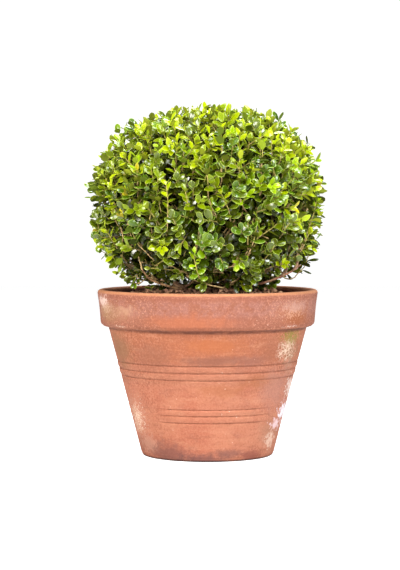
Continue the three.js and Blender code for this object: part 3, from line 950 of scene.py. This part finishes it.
def branch_tips(count, share, stream):
    """Where the branches of one order end: evenly spread, each strayed, at about that share."""
    found = []
    for k in range(count):
        direction = (spiral_direction(k, count) + stray(stream, WOOD_WANDER)).normalized()
        uneven = share * (1 + stream.uniform(-WOOD_UNEVENNESS, WOOD_UNEVENNESS))
        tip = FOOT.lerp(on_outline(direction), uneven)
        if tip.z > LOWEST_TIP_Z and (tip - FOOT).length > NEAREST_TIP * share:
            found.append(tip)
    return found


def grow_branches(orders):
    """The paths of these orders of wood, with the radius at root and tip; the wood remembers them."""
    grown = []
    for count, share, wish, root_radius, tip_radius in orders:
        wood.index()
        ends = branch_tips(count, share, growth)
        paths = [wood.shoot_to(tip, wish, WOOD_SPREAD, WOOD_RISE, growth, WOOD_STEPS) for tip in ends]
        for path in paths:
            if any(too_near(place, bough, OPEN_BOUGHS.get(node, 0))
                   for node, bough in boughs.items() for place in path[3:]):
                continue
            wood.remember(path, WOOD_BARE)
            grown.append((path, root_radius, tip_radius))
    return grown


def paths_mesh(name, paths, **values):
    """Paths as strings of edges, root first, with named values for each point of a path."""
    mesh = bpy.data.meshes.new(name)
    places, edges = [], []
    for path in paths:
        first = len(places)
        places += path
        edges += [(first + k, first + k + 1) for k in range(len(path) - 1)]
    mesh.from_pydata(places, edges, [])
    for label, numbers in values.items():
        layer = mesh.attributes.new(label, "FLOAT", "POINT")
        layer.data.foreach_set("value", numbers)
    return mesh


def value_of(tree, label, kind="FLOAT"):
    """A value that the mesh brings with it under that name."""
    return out_of(tree, "GeometryNodeInputNamedAttribute", {"Name": label}, data_type=kind)


def tube_tree():
    """A round tube along every path, as thick at each point as the path says."""
    tree, given = new_tree("tubes along shoots", {"Sides": "Int", "Finish": "Material"})
    round_section = {"Resolution": given["Sides"], "Radius": 1.0}
    tubes = out_of(tree, "GeometryNodeCurveToMesh", {
        "Curve": out_of(tree, "GeometryNodeMeshToCurve", {0: given["Geometry"]}),
        "Profile Curve": out_of(tree, "GeometryNodeCurvePrimitiveCircle", round_section),
        "Scale": value_of(tree, "thickness"), "Fill Caps": True,
    })
    hand_out(finished(out_of(tree, "GeometryNodeSetShadeSmooth", {0: tubes}), given["Finish"]))
    return tree


def tube_wood(name, stems, sides, finish):
    """Joined tubes of wood, each a path that tapers evenly from its root radius to its tip's."""
    thickness = [radius for path, root, tip in stems for radius in evenly(root, tip, len(path))]
    start = paths_mesh(name, [path for path, root, tip in stems], thickness=thickness)
    part_of_wood(made_by(tubes, name, start, {"Sides": sides, "Finish": finish}), "foliage_ball")


growth = random.Random(GROWTH_SEED)
wood = Wood()
wood.remember(stem_path, STEM_BARE)
for path in boughs.values():
    wood.remember(path, BOUGH_BARE)
tubes = tube_tree()
twig_bark = bark("twig bark", tint(128, 100, 60), tint(196, 166, 114), 0.7)
shaded_bark = bark("shaded bark", tint(96, 70, 53), tint(156, 120, 89), 0.8)
tube_wood("inner_branches", grow_branches(MAIN_BRANCHES), WOOD_SIDES, shaded_bark)
tube_wood("branching_twigs", grow_branches(TWIGS), WOOD_SIDES, twig_bark)
wood.index()

# Leafy sprigs
# The last order of growth, cut back each year: sprigs of box with leaves in opposite pairs, each
# pair set crosswise to the one below it. Leaves are leathery, glossy above and paler beneath.
SPRIG_SPREAD = 0.35
SPRIG_RISE = 0.55
SPRIG_STEPS = 6
SPRIG_SIDES = 5
SPRIG_WANDER = 0.035
UNDER_SHARE = 0.66
SKIRT_Z = 0.284
SKIRT_SHARE = 0.56
SKIRT_FADE = 0.06
TIP_TRIM = 0.0085
PROUD_SHARE = 0.08
PROUD_REACH = 0.007
LOWEST_SPRIG_Z = 0.248
# how many, share of the way to the outline, how far short they may end, length wished for
OUTER_SPRIGS = (880, 1.0, 0.03, 0.064)
INNER_SPRIGS = ((400, 0.86, 0.14, 0.046), (240, 0.68, 0.16, 0.040))
# painted light and shade in the leaf tones: light in the middle of the front, what top, flanks and right
# side have beyond that, and what the underside and places deeper inside have less
FRONT_LIGHT = 0.37
TOP_LIGHT = 0.46
FLANK_LIGHT = 0.22
RIGHT_LIGHT = 0.04
UNDER_SHADE = 0.17
DEPTH_SHADE = 0.5
CLOUDINESS = 0.24
# a sprig's tone goes by its mood, the light that it grew in, which is also painted light and shade, and
# some chance of its own
MOOD_SPREAD = 0.36
LOWEST_MOOD = -math.inf
OUTER_YOUNG = ((0.76, "lime"), (0.47, "fresh"), (LOWEST_MOOD, "mature"))
OUTER_OLD = ((1.1, "fresh"), (0.66, "mature"), (LOWEST_MOOD, "deep"))
INNER_YOUNG = ((1.3, "fresh"), (0.9, "mature"), (LOWEST_MOOD, "deep"))
INNER_OLD = ((LOWEST_MOOD, "deep"),)
GREENER_SHARE = 0.30
YELLOW_BUDS = 0.05
YELLOW_FROM = 0.5
# leaf sizes, and the pairs of a sprig counted from its tip
LEAF_LENGTH = 0.0198
PAIR_SPACING = 0.0078
LEAFY_PAIRS = 5
TIP_PAIRS = 3
LOWEST_LEAF_Z = 0.2465
BUD_ANGLE = 0.50
OPEN_ANGLE = 1.15
BUD_SIZE = 0.78
LIGHT_TURN = 0.3


def tone_at(mood, tones):
    """The first tone whose least mood is passed."""
    return next(tone for least, tone in tones if mood > least)


class Sprig:
    """One leafy shoot: its path, how far its leaves are turned, their size and their tones."""

    def __init__(self, path, light, outer, stream):
        self.path = path
        self.turn = stream.uniform(0, math.pi)
        self.size = stream.uniform(0.80, 1.10) * (1.0 if outer else 0.9)
        self.size *= 0.8 + 0.2 * min(max((path[-1].z - SKIRT_Z) / SKIRT_FADE, 0), 1)
        # the mood carries painted light and shade: lighter tones on top and flanks, darker ones under and
        # inside
        mood = light + stream.gauss(0, MOOD_SPREAD)
        kind = "_green" if stream.random() < GREENER_SHARE * (1.4 - 0.9 * light) else ""
        yellow_bud = stream.random() < YELLOW_BUDS and outer and mood > YELLOW_FROM
        young = tone_at(mood, OUTER_YOUNG if outer else INNER_YOUNG) + kind
        old = tone_at(mood, OUTER_OLD if outer else INNER_OLD) + kind
        # tone, first and last pair
        self.bands = [("amber" if yellow_bud else young, 0, 0), (young, 1, TIP_PAIRS - 1)]
        if path[-1].z > SKIRT_Z:
            self.bands.append((old, TIP_PAIRS, LEAFY_PAIRS))


def light_at(place):
    """How lit a place is, painted as light and shade in the leaf tones: from 0 in the shade under the ball
    to 1 on top, cloudy, as growth never is even.
    """
    normal = (place - BALL_CENTRE).normalized()
    cloud = noise.noise(place * 16) * CLOUDINESS
    upper = normal.z * (TOP_LIGHT if normal.z > 0 else UNDER_SHADE)
    side = RIGHT_LIGHT * normal.x + FLANK_LIGHT * abs(normal.x)
    return FRONT_LIGHT + upper + side + cloud + DEPTH_SHADE * (clip_share(place) - 0.95)


def grow_sprigs(count, share, depth, wish, outer):
    """The sprigs of one shell of the ball, left out where a bough or its shade leaves no room."""
    sprigs = []
    shade = BOUGH_SHADE if outer else BOUGH_SHADE / 2
    for k in range(count):
        stream = random.Random(count + k)
        direction = (spiral_direction(k, count) + stray(stream, SPRIG_WANDER)).normalized()
        uneven = noise.noise(direction * 5) * 0.006 + noise.noise(direction * 13) * 0.004
        uneven += stream.uniform(-0.004, 0.006)
        if stream.random() < PROUD_SHARE and direction.z > 0.1:
            uneven -= PROUD_REACH * stream.uniform(0.5, 1.2)
        goal = on_outline(direction) - direction * (TIP_TRIM + uneven)
        tip = FOOT.lerp(goal, share * (1 - stream.uniform(0, depth)))
        if tip.z < LOWEST_SPRIG_Z or (tip - FOOT).length < NEAREST_TIP * share:
            continue
        if any(too_near(tip, bough, shade) for bough in boughs.values()):
            continue
        bearing = 1.0 if tip.z > BALL_CENTRE.z else UNDER_SHARE if tip.z > SKIRT_Z else SKIRT_SHARE
        if outer and stream.random() > bearing:
            continue
        rise = SPRIG_RISE * stream.uniform(0.2, 1.2)
        long = wish * stream.uniform(0.8, 1.25)
        path = wood.shoot_to(tip, long, SPRIG_SPREAD, rise, stream, SPRIG_STEPS)
        if any(too_near(place, boughs[node], room)
               for node, room in OPEN_BOUGHS.items() for place in path[2:]):
            continue
        sprigs.append(Sprig(path, light_at(tip), outer, stream))
    return sprigs


sprigs = grow_sprigs(*OUTER_SPRIGS, True)
for shell in INNER_SPRIGS:
    sprigs += grow_sprigs(*shell, False)

# name, first and last step of each sprig's path, thickness at both, bark
SPRIG_PARTS = (
    ("sprig_roots", 0, 4, 0.00105, 0.0008, twig_bark),
    ("sprig_ends", 4, SPRIG_STEPS, 0.0008, 0.0005,
     bark("green sprig bark", tint(142, 130, 56), tint(182, 162, 92), 0.6)),
)
for name, first, last, root_radius, tip_radius, finish in SPRIG_PARTS:
    stems = [(sprig.path[first:last + 1], root_radius, tip_radius) for sprig in sprigs]
    tube_wood(name, stems, SPRIG_SIDES, finish)

# rows as for the litter: the old leaf is domed, the young one still cupped
OLD_LEAF_ROWS = (
    (0.0, 0, 0.0, 0), (0.13, 0.085, 0.022, 0.008), (0.40, 0.265, 0.060, 0.004),
    (0.68, 0.310, 0.064, -0.008), (0.91, 0.190, 0.034, -0.012), (1.0, 0, 0.004, 0),
)
YOUNG_LEAF_ROWS = (
    (0.0, 0, 0.0, 0), (0.12, 0.080, 0.012, 0.022), (0.34, 0.225, 0.024, 0.066),
    (0.60, 0.258, 0.018, 0.070), (0.85, 0.150, 0.004, 0.030), (1.0, 0, -0.016, 0),
)
LEAF_THICKNESS = 0.022
old_leaf = flat_piece("old_box_leaf", OLD_LEAF_ROWS, LEAF_THICKNESS, 0.028)
shaded_leaf = flat_piece("shaded_box_leaf", OLD_LEAF_ROWS, LEAF_THICKNESS)
young_leaf = flat_piece("young_box_leaf", YOUNG_LEAF_ROWS, LEAF_THICKNESS, 0.026)


def leaf_tree():
    """Opposite pairs of leaves along every sprig, each pair crosswise to the next.

    Pairs are counted from the tip: the first are small, and folded up round the bud."""
    tree, given = new_tree("leaf pairs on sprigs", {
        "Leaf": "Object", "Length": "Float", "Spacing": "Float", "Lowest": "Float",
        "Bud Angle": "Float", "Open Angle": "Float", "Bud Size": "Float",
        "Middle": "Vector", "Light Turn": "Float",
        "Upper Finish": "Material", "Rim Finish": "Material", "Under Finish": "Material",
    })
    spaced = out_of(tree, "GeometryNodeResampleCurve", {
        "Curve": out_of(tree, "GeometryNodeMeshToCurve", {0: given["Geometry"]}),
        "Length": given["Spacing"],
    }, mode="LENGTH")
    row_count = out_of(tree, "GeometryNodeSplineLength", output="Point Count")
    place_in_row = out_of(tree, "GeometryNodeSplineParameter", output="Index")
    kept = tree.nodes.new("GeometryNodeCaptureAttribute")
    kept.capture_items.new("FLOAT", "Pair")
    feed(kept, {0: spaced, "Pair": row_count - 1.0 - place_in_row})
    pair = Flow(tree, kept.outputs["Pair"])
    rows = {0: Flow(tree, kept.outputs[0])}
    points = add(tree, "GeometryNodeCurveToPoints", rows, mode="EVALUATED").outputs
    along = Flow(tree, points["Tangent"])

    # no leaf too low, and only the pairs that the sprig has in this tone
    spot = out_of(tree, "GeometryNodeInputPosition")
    too_low = is_so(height_of(spot), "LESS_THAN", given["Lowest"])
    too_young = is_so(pair, "LESS_THAN", value_of(tree, "first_pair") - 0.5)
    too_old = is_so(pair, "GREATER_THAN", value_of(tree, "last_pair") + 0.5)
    bare = {0: Flow(tree, points[0]), 1: logic(logic(too_low, "OR", too_young), "OR", too_old)}
    bearing = out_of(tree, "GeometryNodeDeleteGeometry", bare, domain="POINT")
    twice = {0: bearing, "Amount": 2}
    pairs = add(tree, "GeometryNodeDuplicateElements", twice, domain="POINT").outputs

    # a leaf is swung round the sprig, folded up to it and twisted, then turns a little to the light
    crosswise = number_of("MODULO", pair, 2.0) * (math.pi / 2)
    around = crosswise + Flow(tree, pairs["Duplicate Index"]) * math.pi
    around = around + value_of(tree, "turn") + chance(tree, -0.30, 0.30, 5)
    opening = pair.ramp(0.0, 3.0, given["Bud Angle"], given["Open Angle"], "LINEAR")
    lift = opening + chance(tree, -0.20, 0.26, 6) - math.pi / 2
    twist = chance(tree, -0.35, 0.35, 7)
    facing = out_of(tree, "FunctionNodeAlignRotationToVector", {"Vector": along}, axis="Z")
    for axis, angle in (((0, 0, 1), around), ((0, 1, 0), lift), ((1, 0, 0), twist)):
        turn = out_of(tree, "FunctionNodeAxisAngleToRotation", {"Axis": axis, "Angle": angle})
        facing = out_of(tree, "FunctionNodeRotateRotation", {0: facing, 1: turn}, rotation_space="LOCAL")
    outward = vector_of("NORMALIZE", vector_of("SUBTRACT", spot, given["Middle"]))
    facing = out_of(tree, "FunctionNodeAlignRotationToVector", {
        "Rotation": facing, "Vector": vector_of("ADD", outward, (0, 0, 0.5)),
        "Factor": chance(tree, 0.0, 1.0, 10) * given["Light Turn"],
    }, axis="Z")

    grown_up = pair.ramp(0.0, 2.0, given["Bud Size"], 1.0, "LINEAR")
    size = grown_up * value_of(tree, "leaf_size") * given["Length"] * chance(tree, 0.86, 1.12, 8)
    breadth = size * chance(tree, 0.86, 1.10, 9)
    scale = out_of(tree, "ShaderNodeCombineXYZ", {0: size, 1: breadth, 2: size})
    leaves = copies(Flow(tree, pairs[0]), given["Leaf"], facing, scale)
    dressed = finished(leaves, given["Upper Finish"])
    for label, finish in (("rim", "Rim Finish"), ("underside", "Under Finish")):
        dressed = out_of(tree, "GeometryNodeSetMaterial", {
            0: dressed, "Selection": value_of(tree, label, "BOOLEAN"), "Material": given[finish],
        })
    hand_out(dressed)
    return tree


def plain_finish(name, colour, roughness, shine, others):
    """A new material that is the same all over."""
    material = bpy.data.materials.new(name)
    material.use_nodes = True
    dress(material, colour, roughness, shine, others)
    return material


# tone: leaf, colour above, on the rim and beneath; the paler rim is the leaf's margin with a painted sheen
LEAF_TONES = {
    "lime": (young_leaf, tint(150, 166, 0), tint(194, 204, 64), tint(154, 162, 40)),
    "lime_green": (young_leaf, tint(134, 162, 4), tint(182, 204, 70), tint(140, 158, 42)),
    "fresh": (young_leaf, tint(108, 126, 0), tint(160, 174, 56), tint(124, 133, 32)),
    "fresh_green": (old_leaf, tint(95, 121, 1), tint(152, 174, 60), tint(114, 132, 34)),
    "mature": (old_leaf, tint(76, 90, 0), tint(154, 171, 66), tint(96, 104, 24)),
    "mature_green": (old_leaf, tint(65, 91, 1), tint(146, 170, 70), tint(88, 104, 28)),
    "deep": (shaded_leaf, tint(47, 54, 1), tint(47, 54, 1), tint(62, 68, 14)),
    "deep_green": (shaded_leaf, tint(42, 55, 2), tint(42, 55, 2), tint(56, 68, 18)),
    "amber": (young_leaf, tint(170, 160, 14), tint(200, 190, 70), tint(166, 150, 46)),
}
# roughness, shine and its colour
YOUNG_UPPER = (0.2, 0.5, {"Specular Tint": (0.97, 1.0, 0.75, 1.0)})
OLD_UPPER = (0.23, 0.75, {"Specular Tint": (1.0, 1.0, 0.96, 1.0)})
leaf_pairs = leaf_tree()
for tone, (leaf, above, edge, beneath) in LEAF_TONES.items():
    bearers = [(s, float(first), float(last)) for s in sprigs for at, first, last in s.bands if at == tone]
    each = [bearer for bearer in bearers for k in range(SPRIG_STEPS + 1)]
    start = paths_mesh(
        tone + " sprigs", [s.path for s, first, last in bearers],
        first_pair=[first for s, first, last in each], last_pair=[last for s, first, last in each],
        turn=[s.turn for s, first, last in each], leaf_size=[s.size for s, first, last in each],
    )
    roughness, shine, gloss = YOUNG_UPPER if leaf == young_leaf else OLD_UPPER
    leaves = made_by(leaf_pairs, "leaves_" + tone, start, {
        "Leaf": leaf, "Length": LEAF_LENGTH, "Spacing": PAIR_SPACING, "Lowest": LOWEST_LEAF_Z,
        "Bud Angle": BUD_ANGLE, "Open Angle": OPEN_ANGLE, "Bud Size": BUD_SIZE,
        "Middle": tuple(BALL_CENTRE), "Light Turn": LIGHT_TURN,
        "Upper Finish": plain_finish(tone + " leaf, upper side", above, roughness, shine, gloss),
        # the rim is paler: partly the leaf's own margin, partly a painted sheen
        "Rim Finish": plain_finish(tone + " leaf, rim", edge, 0.4, 0.3, gloss),
        "Under Finish": plain_finish(tone + " leaf, underside", beneath, 0.6, 0.15, gloss),
    })
    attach(leaves, "root")
    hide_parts("foliage_ball")

# Floor and light
# A plain pale studio: a white floor and a white sky, both seen whiter than they shine, and five
# broad soft lights: above the plant, to its left and right, behind it and in front of it.
FLOOR_SIZE = 12.0
FLOOR_GREY = 0.6
FLOOR_GLOW = 0.05
FLOOR_SEEN = 0.88
SKY_LOW = 0.30
SKY_HIGH = 0.13
SKY_SEEN = 1.08
COOL = (0.92, 0.97, 1.0)
WARM = (1.0, 0.97, 0.92)
# name, place, height that it is aimed at, size, power, colour
SOFTBOXES = (
    ("softbox_above", (0.1, -0.90, 2.3), 0.3, 1.1, 50.0, COOL),
    ("softbox_left", (-1.5, -1.2, 1.15), 0.25, 0.8, 51.0, WARM),
    ("softbox_right", (1.5, -1.3, 1.0), 0.3, 0.8, 54.0, COOL),
    ("softbox_behind", (0.2, 1.2, 1.8), 0.35, 1.0, 40.0, COOL),
    ("softbox_front", (-0.2, -2.4, 0.9), 0.25, 0.9, 39.0, WARM),
)


def seen_or_not(tree, unseen, seen):
    """One value for what the camera sees, another for what shines on the plant."""
    to_camera = out_of(tree, "ShaderNodeLightPath", output="Is Camera Ray")
    return to_camera.ramp(0.0, 1.0, unseen, seen)


corners = [(x * FLOOR_SIZE / 2, y * FLOOR_SIZE / 2, 0) for x, y in ((-1, -1), (1, -1), (1, 1), (-1, 1))]
floor = smooth_piece("studio_floor", corners, [(0, 1, 2, 3)])
white = plain_finish("white floor", (FLOOR_GREY, FLOOR_GREY, FLOOR_GREY, 1), 1.0, 0.0, {
    "Emission Color": (1, 1, 1, 1),
})
glow = seen_or_not(white.node_tree, FLOOR_GLOW, FLOOR_SEEN)
feed(white.node_tree.nodes["Principled BSDF"], {"Emission Strength": glow})
floor.data.materials.append(white)

for name, place, aim_z, size, power, colour in SOFTBOXES:
    light = bpy.data.objects.new(name, bpy.data.lights.new(name, "AREA"))
    light.data.size = size
    light.data.energy = power
    light.data.color = colour
    light.location = place
    light.rotation_euler = (Vector((0, 0, aim_z)) - Vector(place)).to_track_quat("-Z", "Y").to_euler()
    scene.collection.objects.link(light)

sky = bpy.data.worlds.new("white studio")
sky.use_nodes = True
overhead = out_of(sky.node_tree, "ShaderNodeTexCoord", output="Generated")
dimming = height_of(overhead).ramp(0.0, 0.6, SKY_LOW, SKY_HIGH)
feed(sky.node_tree.nodes["Background"], {
    "Color": (1, 1, 1, 1), "Strength": seen_or_not(sky.node_tree, dimming, SKY_SEEN),
})
scene.world = sky
